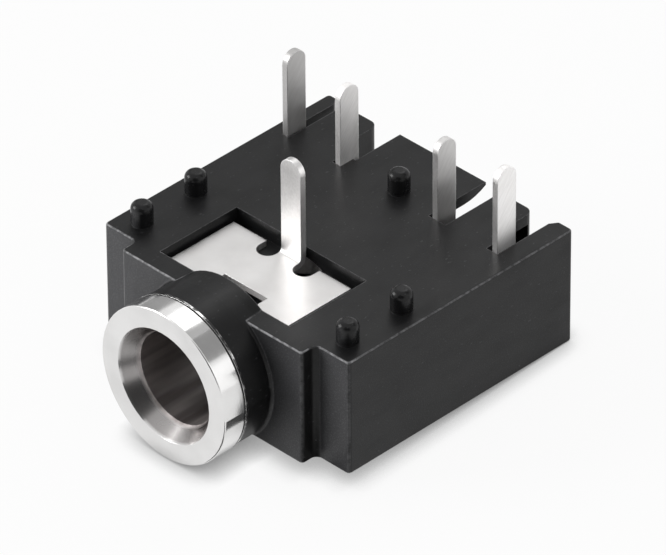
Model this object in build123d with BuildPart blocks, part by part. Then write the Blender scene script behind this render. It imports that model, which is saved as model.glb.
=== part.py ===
from build123d import *
from math import sqrt
import os

# Panel and board jack socket for a 3.5 mm stereo plug, five solder pins, two break contacts.
# Frame: X across the body, +Y the way the plug goes in, +Z towards the solder pins.
# Origin: on the plug axis, in the plane of the front block's face. Millimetres.

# Housing, outside
body_width = 12.0
body_height = 4.75
axis_height = 2.32
body_length = 11.85
block_width = 8.84
shoulder_setback = 0.7
outer_corner_round = 0.15
inner_corner_round = 0.25
edge_round = 0.08

# Nose
neck_diameter = 6.0
neck_length = 1.24
neck_straight = 1.04
neck_taper = 0.05
neck_root_round = 0.12
ring_overhang = 0.05
ring_thickness = 1.1
ring_edge_round = 0.06
rim_groove_depth = 0.05
rim_groove_width = 0.07
rim_groove_place = 0.1
plug_bore = 3.6
mouth_diameter = 4.5
mouth_depth = 0.67
tube_wall = 0.45
tube_depth = 0.6
channel_diameter = 4.0

# Locating pegs on the board face
peg_diameter = 0.82
peg_height = 0.88
peg_round = 0.25
peg_side = 5.05
peg_front = 1.63
peg_back = 4.27
middle_peg_setback = 2.55

# Sheet metal of the contacts
stock = 0.25
bend_round = 0.3
fit_gap = 0.02
pin_width = 0.91

# Pocket and ground contact on the board face
pocket_left = 3.35
pocket_right = 3.0
pocket_front = 0.85
pocket_back = 4.6
plate_reach = 0.02
plate_left = 3.22
plate_right = 2.56
plate_back = 4.31
throat_left = 1.2
throat_right = 0.9
throat_back = 1.88
leg_width = 0.85
leg_reach = 0.5
ground_pin_left = 0.77
ground_pin_right = 0.2
ground_pin_front = 4.22
ground_pin_top = 6.08
relief_width = 0.82
relief_reach = 0.75

# Contact chambers behind the plug channel
chamber_front = 4.75
floor_thickness = 0.7
roof_thickness = 0.7
rear_roof_thickness = 0.42
middle_lead_length = 1.1
middle_lead_rise = 0.3
middle_lead_mid_rise = 0.075
window_height = 1.8
groove_depth = 0.2

# Comb of slots and blocks round the pins, its lengths taken from the rear end
comb_length = 2.93
wide_length = 2.3
left_wall = 0.6
right_wall = 0.85
left_block_outer = 4.2
left_block_inner = 3.36
left_slot_inner = 2.4
right_slot_inner = 1.82
right_block_inner = 2.63
right_web_outer = 3.6
right_block_outer = 4.26
left_outer_play = 0.05
left_inner_play = 0.15
right_outer_play = 0.27
block_setback = 0.16
middle_setback = 0.05
block_corner_round = 0.36
post_length = 0.3
wall_end_bevel_length = 0.35
wall_end_bevel_width = 0.24
passage_length = 0.85
notch_length = 2.1

# Ring and tip contacts, held against the channel's walls
left_plate_face = 2.525
right_plate_face = 2.0
blade_front = 5.6
blade_setback = 1.95
pin_setback = 0.06
inner_pin_top = 5.63
outer_pin_top = 5.84
leaf_height = 1.1
slit = 0.2
ring_root_length = 1.4
tip_root_length = 0.7
apex_reach = 1.35
leaf_offset = 0.7
tail_length = 0.65
tail_face = 2.175
tail_clearance = 0.35

# Break contacts, held against the side walls
break_blade_length = 1.6
ring_arm_front = 0.32
tip_arm_setback = 0.65
tab_length = 0.7

# Worked-out planes, radii and places
rest_face = -axis_height
board_face = body_height - axis_height
left_side = -body_width / 2
right_side = body_width / 2
bore_radius = plug_bore / 2
tube_radius = bore_radius + tube_wall
neck_radius = neck_diameter / 2
neck_back_radius = neck_radius - neck_taper
ring_radius = neck_radius + ring_overhang
ring_back = -neck_length
ring_front = ring_back - ring_thickness
chamber_roof = board_face - roof_thickness
rear_roof = board_face - rear_roof_thickness
chamber_floor = rest_face + floor_thickness
groove_floor = chamber_floor - groove_depth
left_outer_face = left_side + left_wall
right_outer_face = right_side - right_wall
left_slit_face = left_outer_face + stock + left_outer_play
left_slot_face = -left_plate_face - stock - left_inner_play
right_slot_face = right_outer_face - stock - right_outer_play
plate_under = bore_radius - plate_reach
leg_inner = sqrt(tube_radius**2 - plate_under**2)
comb_front = body_length - comb_length
wide_front = body_length - wide_length
block_back = body_length - block_setback
post_front = block_back - post_length
middle_back = body_length - middle_setback
peg_middle = body_length - middle_peg_setback
blade_back = body_length - blade_setback
pin_back = blade_back - pin_setback
pin_front = pin_back - pin_width
ring_root = blade_back - ring_root_length
tip_root = blade_front + tip_root_length
ring_cross = chamber_front + ring_arm_front
tip_cross = body_length - tip_arm_setback
ring_apex = ring_cross + tail_clearance + tail_length + leaf_offset
tip_apex = tip_cross - tail_clearance - tail_length - leaf_offset
same_place = 0.0001


def rectangle_between(low_x, high_x, low_y, high_y, mode=Mode.ADD):
    """A rectangle of the current sketch, given by its four sides."""
    with Locations(((low_x + high_x) / 2, (low_y + high_y) / 2)):
        Rectangle(high_x - low_x, high_y - low_y, mode=mode)


def corners_at(shape, places):
    """The corners of a flat shape that lie at the given places."""
    return [
        corner
        for corner in shape.vertices()
        for x, y in places
        if abs(corner.X - x) < same_place and abs(corner.Y - y) < same_place
    ]


# Housing: one moulding with the neck, the pegs and the chambers behind it
with BuildPart() as housing:
    with BuildSketch(Plane.XY.offset(rest_face)) as outline:
        rectangle_between(left_side, right_side, shoulder_setback, body_length)
        rectangle_between(-block_width / 2, block_width / 2, 0, shoulder_setback)
        front_corners = outline.vertices().group_by(Axis.Y)[0]
        fillet(front_corners, outer_corner_round)
        inner_corners = corners_at(
            outline, [(-block_width / 2, shoulder_setback), (block_width / 2, shoulder_setback)]
        )
        fillet(inner_corners, inner_corner_round)
        outer_corners = corners_at(
            outline,
            [
                (x, y)
                for x in (left_side, right_side)
                for y in (shoulder_setback, body_length)
            ],
        )
        fillet(outer_corners, outer_corner_round)
    extrude(amount=body_height)
    fillet(
        housing.faces().sort_by(Axis.Z)[-1].edges() + housing.faces().sort_by(Axis.Z)[0].edges(),
        edge_round,
    )

    # Neck, ending at the pocket's front wall, where it stands proud of both faces
    with BuildSketch(Plane.XY):
        with BuildLine():
            Polyline(
                (0, -neck_length),
                (neck_radius, -neck_length),
                (neck_radius, neck_straight - neck_length),
                (neck_back_radius, pocket_front),
                (0, pocket_front),
                close=True,
            )
        make_face()
    revolve(axis=Axis.Y)
    neck_root = [
        edge
        for edge in housing.edges().filter_by(GeomType.CIRCLE)
        if abs(edge.arc_center.Y) < same_place
        and neck_back_radius < edge.radius < neck_radius
    ]
    fillet(neck_root, neck_root_round)

    # Seat of the bushing's tube, then the plug channel, open at the rear
    with BuildSketch(Plane.XZ.offset(-tube_depth)):
        Circle(tube_radius)
    extrude(amount=tube_depth + neck_length, mode=Mode.SUBTRACT)
    with BuildSketch(Plane.XZ.offset(-body_length)):
        Circle(channel_diameter / 2)
    extrude(amount=body_length - tube_depth, mode=Mode.SUBTRACT)

    # Contact chambers, as deep as the cores that are drawn out at the rear
    with BuildSketch(Plane.XZ.offset(-wide_front)):
        for low_x, high_x in (
            (left_outer_face, -left_block_outer),
            (-left_block_inner, -left_plate_face),
            (right_plate_face, right_block_inner),
            (right_web_outer, right_outer_face),
        ):
            rectangle_between(low_x, high_x, chamber_floor, chamber_roof)
    extrude(amount=wide_front - chamber_front, mode=Mode.SUBTRACT)

    # Windows that let the springs reach the plug
    with BuildSketch(Plane.XZ.offset(-wide_front)):
        rectangle_between(
            -left_block_inner, right_block_inner, -window_height / 2, window_height / 2
        )
    extrude(amount=wide_front - chamber_front, mode=Mode.SUBTRACT)

    # Behind the windows the roof is thin and the middle is one open space
    with BuildSketch(Plane.XZ.offset(-body_length)):
        rectangle_between(left_outer_face, -left_block_outer, chamber_floor, rear_roof)
        rectangle_between(-left_block_inner, right_block_inner, chamber_floor, rear_roof)
    extrude(amount=body_length - wide_front, mode=Mode.SUBTRACT)
    with BuildSketch(Plane.XZ.offset(-post_front)):
        rectangle_between(right_web_outer, right_outer_face, chamber_floor, rear_roof)
    extrude(amount=post_front - wide_front, mode=Mode.SUBTRACT)

    # The ring's break contact passes in front of the left web
    with BuildSketch(Plane.XY):
        rectangle_between(
            -left_block_outer, -left_block_inner, chamber_front, chamber_front + passage_length
        )
    extrude(amount=window_height / 2, both=True, mode=Mode.SUBTRACT)

    # The tip's break contact passes through the right web at the rear
    with BuildSketch(Plane.XY):
        rectangle_between(
            right_block_inner, right_block_outer, body_length - notch_length, body_length
        )
    extrude(amount=window_height / 2, both=True, mode=Mode.SUBTRACT)

    # Grooves in the floor for the lower edges of the four blades
    with BuildSketch(Plane.XY.offset(groove_floor)):
        for low_x, high_x in (
            (left_outer_face, left_outer_face + stock + fit_gap),
            (-left_plate_face - stock - fit_gap, -left_plate_face),
            (right_plate_face, right_plate_face + stock + fit_gap),
            (right_outer_face - stock - fit_gap, right_outer_face),
        ):
            rectangle_between(low_x, high_x, blade_front - fit_gap, body_length)
    extrude(amount=groove_depth, mode=Mode.SUBTRACT)

    # Comb: the slots that the pins come up through
    with BuildSketch(Plane.XY.offset(board_face)):
        rectangle_between(left_outer_face, left_slit_face, comb_front, body_length)
        rectangle_between(left_slot_face, -left_plate_face, comb_front, wide_front)
        rectangle_between(right_slot_inner, right_block_inner, comb_front, body_length)
        rectangle_between(right_slot_face, right_outer_face, comb_front, wide_front)
    extrude(amount=-roof_thickness, mode=Mode.SUBTRACT)

    # The slots widen behind the pins, and the blocks, the middle and the side walls end
    with BuildSketch(Plane.XY.offset(board_face)) as rear:
        rectangle_between(-left_block_inner, -left_slot_inner, wide_front, body_length)
        rectangle_between(right_block_outer, right_outer_face, wide_front, body_length)
        rectangle_between(left_slit_face, -left_block_inner, block_back, body_length)
        rectangle_between(right_block_inner, right_block_outer, block_back, body_length)
        block_corners = corners_at(
            rear, [(-left_block_inner, block_back), (right_block_outer, block_back)]
        )
        fillet(block_corners, block_corner_round)
        rectangle_between(-left_slot_inner, right_slot_inner, middle_back, body_length)
        for wall_inner, outwards in ((left_outer_face, -1), (right_outer_face, 1)):
            with BuildLine():
                Polyline(
                    (wall_inner, body_length),
                    (wall_inner, body_length - wall_end_bevel_length),
                    (wall_inner + outwards * wall_end_bevel_width, body_length),
                    close=True,
                )
            make_face()
    extrude(amount=chamber_floor - board_face, mode=Mode.SUBTRACT)

    # Lead-in under the rear edge of the middle's thin roof
    with BuildSketch(Plane.YZ.offset(-left_slot_inner)):
        with BuildLine():
            Line((middle_back - middle_lead_length, rear_roof), (middle_back, rear_roof))
            Line((middle_back, rear_roof), (middle_back, rear_roof + middle_lead_rise))
            ThreePointArc(
                (middle_back, rear_roof + middle_lead_rise),
                (middle_back - middle_lead_length / 2, rear_roof + middle_lead_mid_rise),
                (middle_back - middle_lead_length, rear_roof),
            )
        make_face()
    extrude(amount=left_slot_inner + right_slot_inner, mode=Mode.SUBTRACT)

    # Pocket of the ground plate, open to the plug channel, and the slits for its two legs
    with BuildSketch(Plane.XY.offset(plate_under)):
        rectangle_between(-pocket_left, pocket_right, pocket_front, pocket_back)
    extrude(amount=board_face - plate_under, mode=Mode.SUBTRACT)
    with BuildSketch(Plane.XY.offset(plate_under)):
        for side in (-1, 1):
            leg_edges = sorted(
                (side * (leg_inner - slit), side * (leg_inner + leg_width + fit_gap))
            )
            rectangle_between(*leg_edges, pocket_front - leg_reach - slit, pocket_front)
    extrude(amount=stock + fit_gap, mode=Mode.SUBTRACT)

    # Locating pegs with rounded tops
    with BuildSketch(Plane.XY.offset(board_face)):
        with Locations(
            (-peg_side, peg_front),
            (-peg_side, peg_back),
            (peg_side, peg_front),
            (peg_side, peg_back),
            (0, peg_middle),
        ):
            Circle(peg_diameter / 2)
    extrude(amount=peg_height)
    fillet(housing.edges().group_by(Axis.Z)[-1], peg_round)


# Bushing: the bright ring and its thin tube, turned in one piece
with BuildPart() as bushing:
    with BuildSketch(Plane.XY):
        with BuildLine():
            groove_radius = ring_radius - rim_groove_depth
            groove_back = ring_back - rim_groove_place
            groove_front = groove_back - rim_groove_width
            Polyline(
                (bore_radius, tube_depth),
                (bore_radius, ring_front + mouth_depth),
                (mouth_diameter / 2, ring_front),
                (ring_radius - ring_edge_round, ring_front),
            )
            RadiusArc(
                (ring_radius - ring_edge_round, ring_front),
                (ring_radius, ring_front + ring_edge_round),
                -ring_edge_round,
            )
            Polyline(
                (ring_radius, ring_front + ring_edge_round),
                (ring_radius, groove_front),
                (groove_radius, groove_front),
                (groove_radius, groove_back),
                (ring_radius, groove_back),
                (ring_radius, ring_back),
                (tube_radius, ring_back),
                (tube_radius, tube_depth),
                (bore_radius, tube_depth),
            )
        make_face()
    revolve(axis=Axis.Y)


# Ground contact: flat plate in the pocket, legs astride the tube, one pin bent up
with BuildPart() as ground_contact:
    with BuildSketch(Plane.XY.offset(plate_under)):
        rectangle_between(-plate_left, plate_right, pocket_front + fit_gap, plate_back)
        rectangle_between(
            -throat_left, throat_right, pocket_front, throat_back, mode=Mode.SUBTRACT
        )
        for side in (-1, 1):
            leg_edges = sorted((side * (leg_inner + fit_gap), side * (leg_inner + leg_width)))
            rectangle_between(*leg_edges, pocket_front - leg_reach, throat_back)
        relief_radius = relief_width / 2
        relief_end = plate_back - relief_reach
        for pin_edge, side in ((-ground_pin_left, -1), (ground_pin_right, 1)):
            relief_edges = sorted((pin_edge, pin_edge + side * relief_width))
            rectangle_between(
                *relief_edges, relief_end + relief_radius, plate_back, mode=Mode.SUBTRACT
            )
            with Locations((pin_edge + side * relief_radius, relief_end + relief_radius)):
                Circle(relief_radius, mode=Mode.SUBTRACT)
        rectangle_between(
            -ground_pin_left, ground_pin_right, relief_end + relief_radius, plate_back,
            mode=Mode.SUBTRACT,
        )
    extrude(amount=stock)

    # The bend from the plate up into the pin
    with BuildSketch(Plane.YZ.offset(-ground_pin_left)):
        with BuildLine():
            FilletPolyline(
                (relief_end, plate_under + stock / 2),
                (ground_pin_front + stock / 2, plate_under + stock / 2),
                (ground_pin_front + stock / 2, board_face),
                radius=bend_round,
            )
        trace(line_width=stock)
    extrude(amount=ground_pin_left + ground_pin_right)

    # The pin with its full-round tip
    with BuildSketch(Plane.XZ.offset(-ground_pin_front)):
        pin_radius = (ground_pin_left + ground_pin_right) / 2
        rectangle_between(
            -ground_pin_left, ground_pin_right, board_face, ground_pin_top - pin_radius
        )
        with Locations(
            ((ground_pin_right - ground_pin_left) / 2, ground_pin_top - pin_radius)
        ):
            Circle(pin_radius)
    extrude(amount=-stock)


def blade_profile(front, back, pin_top):
    """The upright blade of a contact with its solder pin, seen from the side."""
    rectangle_between(front, back, groove_floor, chamber_roof - fit_gap)
    rectangle_between(pin_front, pin_back, chamber_roof - stock, pin_top - pin_width / 2)
    with Locations(((pin_front + pin_back) / 2, pin_top - pin_width / 2)):
        Circle(pin_width / 2)


def spring_contact(side, plate_face, root, apex, towards):
    """A blade beside the plug channel with a sprung leaf lanced out of it.

    side is -1 on the left and 1 on the right; the leaf runs from its root towards
    the front (-1) or the rear (1), touches the plug at its apex and ends in a tail.
    """
    middle = plate_face + stock / 2
    apex_middle = apex_reach + stock / 2
    tail_middle = tail_face + stock / 2
    tail_start = apex + towards * leaf_offset
    window_half = leaf_height / 2 + slit
    open_end = blade_front - slit if towards < 0 else blade_back + slit
    with BuildPart() as contact:
        with BuildSketch(Plane.YZ.offset(side * middle)):
            blade_profile(blade_front, blade_back, inner_pin_top)
            rectangle_between(
                *sorted((root, open_end)), -window_half, window_half, mode=Mode.SUBTRACT
            )
        extrude(amount=stock / 2, both=True)
        with BuildSketch(Plane.XY):
            with BuildLine():
                FilletPolyline(
                    (side * middle, root - towards * stock),
                    (side * middle, root + towards * slit),
                    (side * apex_middle, apex),
                    (side * tail_middle, tail_start),
                    (side * tail_middle, tail_start + towards * tail_length),
                    radius=bend_round,
                )
            trace(line_width=stock)
        extrude(amount=leaf_height / 2, both=True)
    return contact.part


def break_contact(side, wall_face, cross, towards):
    """A blade on the side wall whose arm crosses over to the spring's tail.

    The arm runs towards the front (-1) or the rear (1), turns inwards, and ends
    in a tab that lies on the plug side of the tail.
    """
    middle = wall_face - stock / 2
    tab_middle = tail_face - stock / 2
    with BuildPart() as contact:
        with BuildSketch(Plane.YZ.offset(side * middle)):
            blade_profile(blade_back - break_blade_length, blade_back, outer_pin_top)
        extrude(amount=stock / 2, both=True)
        with BuildSketch(Plane.XY):
            with BuildLine():
                FilletPolyline(
                    (side * middle, blade_back - break_blade_length / 2),
                    (side * middle, cross),
                    (side * tab_middle, cross),
                    (side * tab_middle, cross - towards * tab_length),
                    radius=bend_round,
                )
            trace(line_width=stock)
        extrude(amount=leaf_height / 2, both=True)
    return contact.part


ring_contact = spring_contact(-1, left_plate_face, ring_root, ring_apex, -1)
tip_contact = spring_contact(1, right_plate_face, tip_root, tip_apex, 1)
ring_break_contact = break_contact(-1, -left_outer_face, ring_cross, -1)
tip_break_contact = break_contact(1, right_outer_face, tip_cross, 1)

housing.part.label = "housing"
bushing.part.label = "bushing"
ground_contact.part.label = "ground_contact"
ring_contact.label = "ring_contact"
tip_contact.label = "tip_contact"
ring_break_contact.label = "ring_break_contact"
tip_break_contact.label = "tip_break_contact"

os.makedirs("parts", exist_ok=True)
for piece in (
    housing.part,
    bushing.part,
    ground_contact.part,
    ring_contact,
    tip_contact,
    ring_break_contact,
    tip_break_contact,
):
    export_step(piece, f"parts/{piece.label}.step")
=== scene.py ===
from math import atan2, cos, radians, sin

import bpy
from mathutils import Matrix, Vector

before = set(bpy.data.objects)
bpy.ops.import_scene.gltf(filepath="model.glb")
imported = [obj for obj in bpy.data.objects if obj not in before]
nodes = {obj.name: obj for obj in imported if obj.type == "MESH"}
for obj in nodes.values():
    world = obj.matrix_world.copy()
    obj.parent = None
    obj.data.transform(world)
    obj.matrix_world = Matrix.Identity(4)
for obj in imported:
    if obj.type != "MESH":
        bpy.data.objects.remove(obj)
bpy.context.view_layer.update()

MM = 0.001
WHITE = (1, 1, 1, 1)
scene = bpy.context.scene
scene.view_settings.view_transform = "Standard"


# Node helpers

OCCLUSION_SAMPLES = 8
BEVEL_SAMPLES = 6
# The Mix node's colour sockets go by number: two inputs and the result
MIX_LOW, MIX_HIGH, MIX_RESULT = 6, 7, 2


class Nodes:
    """Adds nodes to an emptied tree. A socket takes a value or another node's output."""

    def __init__(self, tree):
        self.tree = tree
        self.tree.nodes.clear()

    def give(self, socket, value):
        if isinstance(value, bpy.types.NodeSocket):
            self.tree.links.new(value, socket)
        else:
            socket.default_value = value

    def add(self, kind, inputs=None, **settings):
        """Returns the new node's outputs; inputs goes by its sockets' names or numbers."""
        made = self.tree.nodes.new(kind)
        for key, value in settings.items():
            setattr(made, key, value)
        for key, value in (inputs or {}).items():
            self.give(made.inputs[key], value)
        return made.outputs

    def math(self, operation, *inputs):
        return self.add("ShaderNodeMath", dict(enumerate(inputs)), operation=operation)["Value"]

    def times(self, a, b):
        return self.math("MULTIPLY", a, b)

    def most(self, a, b):
        return self.math("MAXIMUM", a, b)

    def white_rays(self):
        """1 for the rays that show the background itself: camera, glossy and transmission rays."""
        rays = self.add("ShaderNodeLightPath")
        seen_or_mirrored = self.most(rays["Is Camera Ray"], rays["Is Glossy Ray"])
        return self.most(seen_or_mirrored, rays["Is Transmission Ray"])


class Look(Nodes):
    """A material. Its helpers work in the row frame, in metres."""

    def __init__(self, name):
        self.material = bpy.data.materials.new(name)
        self.material.use_nodes = True
        super().__init__(self.material.node_tree)
        self.output = self.tree.nodes.new("ShaderNodeOutputMaterial")
        self.shader = self.tree.nodes.new("ShaderNodeBsdfPrincipled")
        self.show(self.shader.outputs["BSDF"])
        self.coordinates = self.tree.nodes.new("ShaderNodeTexCoord").outputs

    def show(self, surface):
        self.give(self.output.inputs["Surface"], surface)

    def drive(self, name, value):
        self.give(self.shader.inputs[name], value)

    def xyz(self, vector):
        return self.add("ShaderNodeSeparateXYZ", {"Vector": vector})

    def remap(self, value, low, high, to_low, to_high):
        """to_low where value is low or less, to_high where it is high or more."""
        ends = {"From Min": low, "From Max": high, "To Min": to_low, "To Max": to_high}
        return self.add("ShaderNodeMapRange", {"Value": value, **ends})["Result"]

    def rise(self, value, low, high):
        return self.remap(value, low, high, 0.0, 1.0)

    def fall(self, value, low, high):
        return self.remap(value, low, high, 1.0, 0.0)

    def noise(self, scale, detail, rough, stretch=(1, 1, 1), vector=None):
        """Noise with scale features per metre, fewer along an axis with a small stretch."""
        if vector is None:
            vector = self.coordinates["Object"]
        scales = [scale * s for s in stretch]
        mapped = self.add("ShaderNodeMapping", {"Vector": vector, "Scale": scales})["Vector"]
        inputs = {"Vector": mapped, "Scale": 1.0, "Detail": detail, "Roughness": rough}
        return self.add("ShaderNodeTexNoise", inputs)["Fac"]

    def tint(self, factor, low, high):
        """low where factor is 0 and high where it is 1; each is a colour or an output."""
        low, high = ((*c, 1.0) if isinstance(c, tuple) else c for c in (low, high))
        inputs = {"Factor": factor, MIX_LOW: low, MIX_HIGH: high}
        return self.add("ShaderNodeMix", inputs, data_type="RGBA")[MIX_RESULT]

    def openness(self, reach, only_local=True):
        """1 in the open, less where something stands within reach."""
        settings = {"samples": OCCLUSION_SAMPLES, "only_local": only_local}
        return self.add("ShaderNodeAmbientOcclusion", {"Distance": reach}, **settings)["AO"]

    def bevel(self, radius):
        return self.add("ShaderNodeBevel", {"Radius": radius}, samples=BEVEL_SAMPLES)["Normal"]

    def edge_mask(self, radius, low, high):
        """1 on outward and inward edges, where the bevelled normal leaves the true one."""
        normals = {0: self.bevel(radius), 1: self.add("ShaderNodeNewGeometry")["Normal"]}
        likeness = self.add("ShaderNodeVectorMath", normals, operation="DOT_PRODUCT")["Value"]
        return self.fall(likeness, low, high)

    def bump(self, height, distance, strength, normal):
        inputs = {"Height": height, "Distance": distance, "Strength": strength, "Normal": normal}
        return self.add("ShaderNodeBump", inputs)["Normal"]


# Looks. A pair of tones is what the clouds in a material vary between.

BLACK = (0.0065, 0.0065, 0.0070), (0.0115, 0.0115, 0.0120)
# Painted light for the front faces
PAINTED_FRONT_LIGHT = (0.054, 0.054, 0.057), (0.074, 0.074, 0.078)
COARSE_GRAIN = (0.15, 0.15, 0.155)
FINE_GRAIN = (0.045, 0.045, 0.047)
# Pale edges: partly real wear, partly painted highlight
RUBBED_AND_HIGHLIT = (0.36, 0.36, 0.37)
# Painted shade for the steps beside the block's front
PAINTED_STEP_SHADE = (0.003, 0.003, 0.003)
SPECK = (0.09, 0.09, 0.095)
PEG_FOOT = 2.44 * MM

POLISHED = (0.70, 0.695, 0.69), (0.80, 0.795, 0.79)
MOUTH = (0.32, 0.308, 0.304)
BORE = (0.25, 0.225, 0.22), (0.56, 0.52, 0.51)
# Painted shade for the groove and lip at the ring's rear edge
GROOVE_SHADE = (0.02, 0.02, 0.02)
GROOVE_PLACE = -1.375 * MM

TIN = (0.77, 0.757, 0.748), (0.90, 0.89, 0.882)
BARE_TIN = (0.93, 0.925, 0.92)
BRUSHING_ANGLE = radians(35)


def moulded_and_lit_tone(m, place, facing_front, on_sides):
    """The black of the moulding, with painted light on its front faces and painted shade by the
    neck, before edge wear and the steps' painted shade.
    """
    # Painted light: the front faces are paler than the rest, the left one most, where the light
    # falls on them
    outside = m.times(facing_front, m.fall(place["Y"], 1.0 * MM, 1.4 * MM))
    lit_from_left = m.times(outside, m.remap(place["X"], -2.5 * MM, 3.2 * MM, 1.0, 0.80))
    # Painted shade: the right front face is darker towards the neck, where it is shut in
    out_of_painted_shade = m.remap(m.openness(2.2 * MM), 0.60, 0.97, 0.30, 1.0)
    left = m.fall(place["X"], -1.0 * MM, 1.0 * MM)
    front = m.times(lit_from_left, m.most(out_of_painted_shade, left))
    clouds = m.rise(m.noise(450, 4.0, 0.55), 0.3, 0.7)
    smooth = m.tint(front, m.tint(clouds, *BLACK), m.tint(clouds, *PAINTED_FRONT_LIGHT))
    # The front faces keep the mould's coarse grain, and the sides a finer, fainter one
    coarse = m.remap(m.noise(17000, 2.0, 0.7), 0.50, 0.68, 0.0, 0.5)
    fine = m.remap(m.noise(20000, 2.0, 0.7), 0.52, 0.70, 0.0, 0.4)
    grained = m.tint(m.times(coarse, front), smooth, COARSE_GRAIN)
    return m.tint(m.times(fine, on_sides), grained, FINE_GRAIN)


def edge_wear_and_highlight(m, place, lean, hollow):
    """How far the edges are painted pale, partly real wear and partly painted highlight."""
    patchy = m.remap(m.noise(4500, 4.0, 0.65), 0.38, 0.60, 0.25, 1.0)
    # The edges at the nose end are the most rubbed
    rubbed = m.times(patchy, m.remap(place["Y"], 0.9 * MM, 1.3 * MM, 1.0, 0.44))
    # The body's rounded edges are where its normal follows none of the three directions
    largest = m.most(m.most(lean["X"], lean["Y"]), lean["Z"])
    behind_neck = m.rise(place["Y"], -0.02 * MM, 0.02 * MM)
    below_pegs = m.fall(place["Z"], PEG_FOOT, PEG_FOOT + 0.03 * MM)
    body_rounds = m.times(m.times(m.fall(largest, 0.90, 0.985), behind_neck), below_pegs)
    edges = m.most(m.edge_mask(0.085 * MM, 0.80, 0.965), body_rounds)
    # Upright edges get less of the wear and painted highlight, and hollow corners none
    upright = m.remap(lean["Z"], 0.05, 0.35, 0.14, 1.0)
    open_to_touch_and_light = m.rise(hollow, 0.70, 0.90)
    return m.times(m.times(edges, rubbed), m.times(upright, open_to_touch_and_light))


def step_shade(m, place, lean, on_sides, hollow):
    """How far painted shade darkens the two steps from the block's front back to its shoulders."""
    corner = m.most(m.rise(lean["X"], 0.10, 0.40), m.fall(hollow, 0.62, 0.97))
    nook = m.times(corner, m.rise(place["Y"], 0.35 * MM, 0.50 * MM))
    inward = m.fall(m.math("ABSOLUTE", place["X"]), 5.0 * MM, 5.4 * MM)
    step = m.times(inward, m.remap(place["Y"], 0.75 * MM, 0.85 * MM, 0.85, 0.0))
    return m.times(m.most(on_sides, nook), step)


def black_plastic():
    m = Look("black_plastic_look")
    m.shader.inputs["IOR"].default_value = 1.31
    place = m.xyz(m.coordinates["Object"])
    normal = m.coordinates["Normal"]
    lean = m.xyz(m.add("ShaderNodeVectorMath", {0: normal}, operation="ABSOLUTE")["Vector"])
    facing_front = m.fall(m.xyz(normal)["Y"], -0.98, -0.75)
    on_sides = m.rise(lean["X"], 0.75, 0.98)
    hollow = m.openness(0.4 * MM)
    tone = moulded_and_lit_tone(m, place, facing_front, on_sides)
    # The edges are painted pale, partly wear and partly painted highlight
    worn_and_highlit = m.tint(edge_wear_and_highlight(m, place, lean, hollow), tone, RUBBED_AND_HIGHLIT)
    # Painted shade darkens the steps beside the block's front
    step_shaded = m.tint(step_shade(m, place, lean, on_sides, hollow), worn_and_highlit, PAINTED_STEP_SHADE)
    specks = m.noise(9000, 2.0, 0.6, stretch=(1.0, 0.5, 1.0))
    m.drive("Base Color", m.tint(m.remap(specks, 0.66, 0.74, 0.0, 0.35), step_shaded, SPECK))
    # Satin all over, and the pegs are the shiniest
    satin = m.remap(m.noise(1500, 5.0, 0.6, stretch=(1.0, 0.35, 1.0)), 0.3, 0.7, 0.30, 0.46)
    high = m.remap(place["Z"], PEG_FOOT, PEG_FOOT + 0.11 * MM, 1.0, 0.55)
    m.drive("Roughness", m.times(satin, m.most(high, m.fall(place["Y"], 1.1 * MM, 1.2 * MM))))
    waves = m.bump(m.noise(900, 2.0, 0.5), 0.005 * MM, 0.35, m.bevel(0.03 * MM))
    m.drive("Normal", m.bump(m.noise(21000, 2.0, 0.6), 0.0045 * MM, 0.7, waves))
    return m.material


def nickel_plate():
    m = Look("nickel_plate_look")
    m.shader.inputs["Metallic"].default_value = 1.0
    place = m.xyz(m.coordinates["Object"])
    across = m.add("ShaderNodeCombineXYZ", {"X": place["X"], "Y": place["Z"]})["Vector"]
    radius = m.add("ShaderNodeVectorMath", {0: across}, operation="LENGTH")["Value"]
    # The bore is duller and browner than the polished outside, and the mouth lies between
    inside = m.fall(radius, 1.82 * MM, 1.90 * MM)
    mouth = m.fall(radius, 2.18 * MM, 2.26 * MM)
    clouds = m.noise(700, 3.0, 0.5)
    outer = m.tint(m.rise(clouds, 0.3, 0.7), *POLISHED)
    streaks = m.rise(m.noise(1500, 2.0, 0.5, stretch=(1.0, 0.12, 1.0)), 0.38, 0.62)
    plated = m.tint(inside, m.tint(mouth, outer, MOUTH), m.tint(streaks, *BORE))
    # Painted shade darkens the groove before the ring's rear edge and in patches the lip behind it
    off_groove = m.math("ABSOLUTE", m.math("SUBTRACT", place["Y"], GROOVE_PLACE))
    groove = m.fall(off_groove, 0.03 * MM, 0.055 * MM)
    sunk = m.times(groove, m.fall(radius, 3.02 * MM, 3.045 * MM))
    lip = m.rise(place["Y"], -1.345 * MM, -1.32 * MM)
    lip_shade = m.times(lip, m.remap(m.noise(2600, 3.0, 0.6), 0.38, 0.56, 0.0, 0.92))
    groove_and_lip_shade = m.times(m.most(sunk, lip_shade), m.rise(radius, 2.9 * MM, 2.95 * MM))
    m.drive("Base Color", m.tint(groove_and_lip_shade, plated, GROOVE_SHADE))
    polish = m.remap(clouds, 0.3, 0.7, 0.10, 0.17)
    dull = m.math("ADD", polish, m.times(mouth, 0.12))
    m.drive("Roughness", m.math("ADD", dull, m.times(inside, 0.24)))
    # Turning marks follow the distance from the axis and the place along it
    turned = m.add("ShaderNodeCombineXYZ", {"X": radius, "Y": place["Y"]})["Vector"]
    marks = m.noise(26000, 3.0, 0.6, vector=turned)
    rings = m.bump(marks, 0.0012 * MM, 0.5, m.bevel(0.02 * MM))
    m.drive("Normal", m.bump(m.noise(1300, 2.0, 0.5), 0.005 * MM, 0.35, rings))
    return m.material


def scaled(colour, factor):
    return tuple(factor * c for c in colour)


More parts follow.
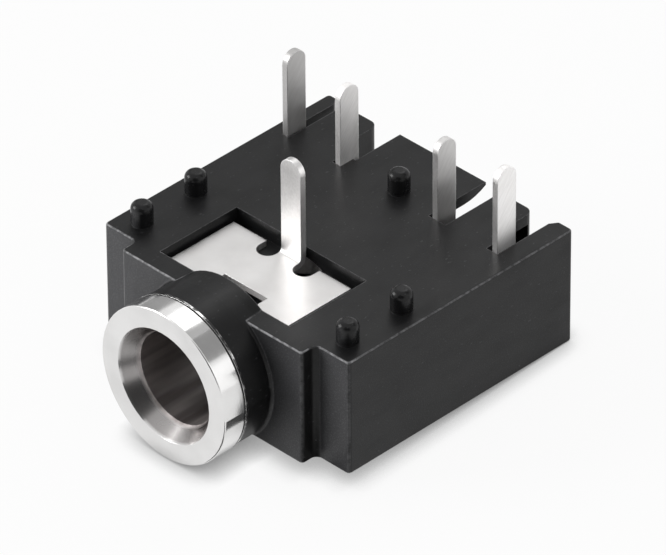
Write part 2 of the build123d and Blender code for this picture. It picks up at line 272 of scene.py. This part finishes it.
def tin_plate(name, tone, roughness, flat=1.0):
    """Tin plate; tone scales its brightness as painted light and shade, flat that of faces that
    look up (+Z) as painted shade.

    roughness is that of its smoothest spots.
    """
    m = Look(name)
    m.shader.inputs["Metallic"].default_value = 1.0
    clouds = m.rise(m.noise(650, 4.0, 0.55), 0.3, 0.7)
    slanted = m.add(
        "ShaderNodeVectorRotate",
        {"Vector": m.coordinates["Object"], "Angle": BRUSHING_ANGLE},
        rotation_type="X_AXIS",
    )["Vector"]
    streaks = m.noise(15000, 2.0, 0.55, stretch=(1.0, 1.0, 0.10), vector=slanted)
    strokes = m.rise(streaks, 0.35, 0.65)
    patches = m.math("ADD", m.times(clouds, 0.5), m.times(strokes, 0.5))
    low, high = (scaled(colour, tone) for colour in TIN)
    bare = m.edge_mask(0.05 * MM, 0.80, 0.97)
    steep = m.tint(bare, m.tint(patches, low, high), BARE_TIN)
    level = m.tint(clouds, scaled(low, flat), scaled(high, flat))
    upward = m.rise(m.xyz(m.coordinates["Normal"])["Z"], 0.6, 0.95)
    m.drive("Base Color", m.tint(upward, steep, level))
    m.drive("Roughness", m.remap(clouds, 0.0, 1.0, roughness, roughness + 0.12))
    brushed = m.noise(9000, 3.0, 0.6, stretch=(1.0, 1.0, 0.06))
    lines = m.bump(brushed, 0.0015 * MM, 0.6, m.bevel(0.045 * MM))
    m.drive("Normal", m.bump(m.noise(9000, 3.0, 0.6), 0.004 * MM, 0.45, lines))
    return m.material


# The tones are painted light and shade on copies of one tin, lighter or darker as the light falls
# on each contact; the ground plate's top is painted darker
looks = {
    "housing": black_plastic(),
    "bushing": nickel_plate(),
    "ground_contact": tin_plate("tin_ground", 1.09, 0.40, 0.76),
    "ring_break_contact": tin_plate("tin_ring_break", 0.62, 0.40),
    "ring_contact": tin_plate("tin_ring", 1.09, 0.50),
    "tip_contact": tin_plate("tin_tip", 0.80, 0.42),
    "tip_break_contact": tin_plate("tin_tip_break", 1.08, 0.36),
}
for name, obj in nodes.items():
    for slot in obj.material_slots:
        slot.material = looks[name]


# Floor: white paper, with a painted contact shadow where the object stands close over it

FLOOR_TONE = 0.88
FLOOR_WHITE = 0.93
FLOOR_HALF = 1.5
CONTACT_REACH = 1.0 * MM
CONTACT_TONE = 0.10
# Y and Z of the two edges that the object rests on
RING_LOW = (-1.24 * MM, -3.05 * MM)
REAR_LOW = (11.80 * MM, -2.32 * MM)
CORNER_SIGNS = ((-1, -1), (1, -1), (1, 1), (-1, 1))


def stage_material():
    m = Look("floor_paper")
    m.shader.inputs["Base Color"].default_value = (FLOOR_TONE, FLOOR_TONE, FLOOR_TONE, 1.0)
    m.shader.inputs["Roughness"].default_value = 0.9
    # Painted contact shadow: ambient occlusion darkens the paper's glow where the object stands
    # close
    contact = m.remap(m.openness(CONTACT_REACH, only_local=False), 0.0, 0.9, CONTACT_TONE, 1.0)
    glow = m.add("ShaderNodeEmission", {"Color": WHITE, "Strength": contact})["Emission"]
    share = m.times(m.white_rays(), FLOOR_WHITE)
    paper = m.shader.outputs["BSDF"]
    m.show(m.add("ShaderNodeMixShader", {0: share, 1: paper, 2: glow})["Shader"])
    return m.material


def rectangle(name, corners, material):
    mesh = bpy.data.meshes.new(name)
    mesh.from_pydata(corners, [], [(0, 1, 2, 3)])
    mesh.materials.append(material)
    obj = bpy.data.objects.new(name, mesh)
    scene.collection.objects.link(obj)
    return obj


tilt = atan2(REAR_LOW[1] - RING_LOW[1], REAR_LOW[0] - RING_LOW[0])
floor_corners = [(FLOOR_HALF * i, FLOOR_HALF * j, 0) for i, j in CORNER_SIGNS]
floor = rectangle("floor", floor_corners, stage_material())
floor.matrix_world = Matrix.Translation((0, *RING_LOW)) @ Matrix.Rotation(tilt, 4, "X")


# Light: azimuth 0 stands in front (-Y) and 90 to the right (+X)

LIGHT_AIM = Vector((0, 4 * MM, 0))
# Azimuth, elevation, distance, width, height and power
SOFTBOXES = {
    "key_left_front": (-50, 26, 0.40, 0.20, 0.20, 0.88),
    "top_back": (-153, 50, 0.40, 0.16, 0.16, 0.10),
    "fill_right": (110, 30, 0.50, 0.16, 0.20, 0.05),
}


def direction(azimuth, elevation):
    a, e = radians(azimuth), radians(elevation)
    return Vector((sin(a) * cos(e), -cos(a) * cos(e), sin(e)))


def softbox(name, azimuth, elevation, distance, width, height, power):
    light = bpy.data.lights.new(name, "AREA")
    light.shape = "RECTANGLE"
    light.size, light.size_y = width, height
    light.energy = power
    obj = bpy.data.objects.new(name, light)
    scene.collection.objects.link(obj)
    outward = direction(azimuth, elevation)
    obj.location = LIGHT_AIM + outward * distance
    obj.rotation_euler = outward.to_track_quat("Z", "Y").to_euler()


for name, settings in SOFTBOXES.items():
    softbox(name, *settings)


# Cards for the metal to mirror: the darker room between the white sheets, and painted shadow lying
# on the floor

RING_MIDDLE = Vector((0, -1.75 * MM, 0))
CARD_DISTANCE = 0.10
CARD_HEIGHT = 0.05
# The directions from the origin in which the corners of the card before the camera lie
CAMERA_CARD_DISTANCE = 0.25
CAMERA_CARD = (0.153, -0.503, 0.851), (0.05, -1.0, 0.04), (0.95, -0.45, 0.04), (0.854, -0.25, 0.60)


def card(name, corners, tone):
    """A grey card that only reflections show."""
    m = Look(name)
    m.show(m.add("ShaderNodeEmission", {"Color": (tone, tone, tone, 1)})["Emission"])
    obj = rectangle(name, corners, m.material)
    for kind in ("camera", "diffuse", "shadow", "transmission", "volume_scatter"):
        setattr(obj, "visible_" + kind, False)


def facing(start, end):
    """The corners of a card that faces the ring; its two ends lie in these directions."""
    start, end = (Vector(d).normalized() * CARD_DISTANCE for d in (start, end))
    along = (end - start) / 2
    middle = (start + end) / 2
    across = middle.cross(along).normalized() * CARD_HEIGHT / 2
    return [RING_MIDDLE + middle + i * along + j * across for i, j in CORNER_SIGNS]


def lying(low_x, high_x, low_y, high_y, z):
    """The corners of a card that lies just above the floor, in millimetres."""
    places = ((low_x, low_y), (high_x, low_y), (high_x, high_y), (low_x, high_y))
    return [Vector((x, y, z)) * MM for x, y in places]


card("card_back_middle", facing((-0.05, 0.576, 0.816), (0.15, 0.576, 0.80)), 0.56)
card("card_back_right", facing((0.15, 0.576, 0.80), (0.618, 0.576, 0.534)), 0.35)
card("card_back_left", facing((-0.86, 0.576, -0.02), (-0.635, 0.576, 0.50)), 0.38)
card("card_right", facing((0.66, 0.576, 0.48), (0.80, 0.576, -0.12)), 1.25)
# Painted shadow: these two dark cards lie where the floor is shaded under the nose and the
# shoulder, and only reflections show them
card("shadow_card_low", lying(1.6, 4.0, -6.5, -2.7, -3.0), 0.12)
card("shadow_card_shoulder", lying(4.5, 6.2, -1.6, 1.2, -2.85), 0.07)
camera_card = [Vector(d).normalized() * CAMERA_CARD_DISTANCE for d in CAMERA_CARD]
card("card_by_camera", camera_card, 0.08)


# World: what is seen or mirrored is full white, the light from around only half

SEEN_STRENGTH = 1.0
AROUND_STRENGTH = 0.5

world = bpy.data.worlds.new("studio")
scene.world = world
world.use_nodes = True
studio = Nodes(world.node_tree)
around, seen = (
    studio.add("ShaderNodeBackground", {"Color": WHITE, "Strength": strength})["Background"]
    for strength in (AROUND_STRENGTH, SEEN_STRENGTH)
)
light = studio.add("ShaderNodeMixShader", {0: studio.white_rays(), 1: around, 2: seen})
studio.add("ShaderNodeOutputWorld", {"Surface": light["Shader"]})


# Camera, fitted to the corners and circles of the photographed object

CAMERA_AZIMUTH = 44.975
CAMERA_ELEVATION = 35.493
CAMERA_ROLL = -0.388
CAMERA_DISTANCE = 322.77 * MM
CAMERA_TARGET = Vector((1.985, 4.0, 2.372)) * MM
CAMERA_LENS = 503.5
CAMERA_SENSOR = 36

azimuth, roll = radians(CAMERA_AZIMUTH), radians(CAMERA_ROLL)
back = direction(CAMERA_AZIMUTH, CAMERA_ELEVATION)
level_right = Vector((cos(azimuth), sin(azimuth), 0))
level_up = back.cross(level_right)
right = cos(roll) * level_right + sin(roll) * level_up
up = -sin(roll) * level_right + cos(roll) * level_up
camera_data = bpy.data.cameras.new("camera")
camera_data.sensor_width = CAMERA_SENSOR
camera_data.lens = CAMERA_LENS
camera_data.clip_start = 0.01
camera_data.clip_end = 20
camera = bpy.data.objects.new("camera", camera_data)
scene.collection.objects.link(camera)
where = Matrix.Translation(CAMERA_TARGET + back * CAMERA_DISTANCE)
camera.matrix_world = where @ Matrix((right, up, back)).transposed().to_4x4()
scene.camera = camera
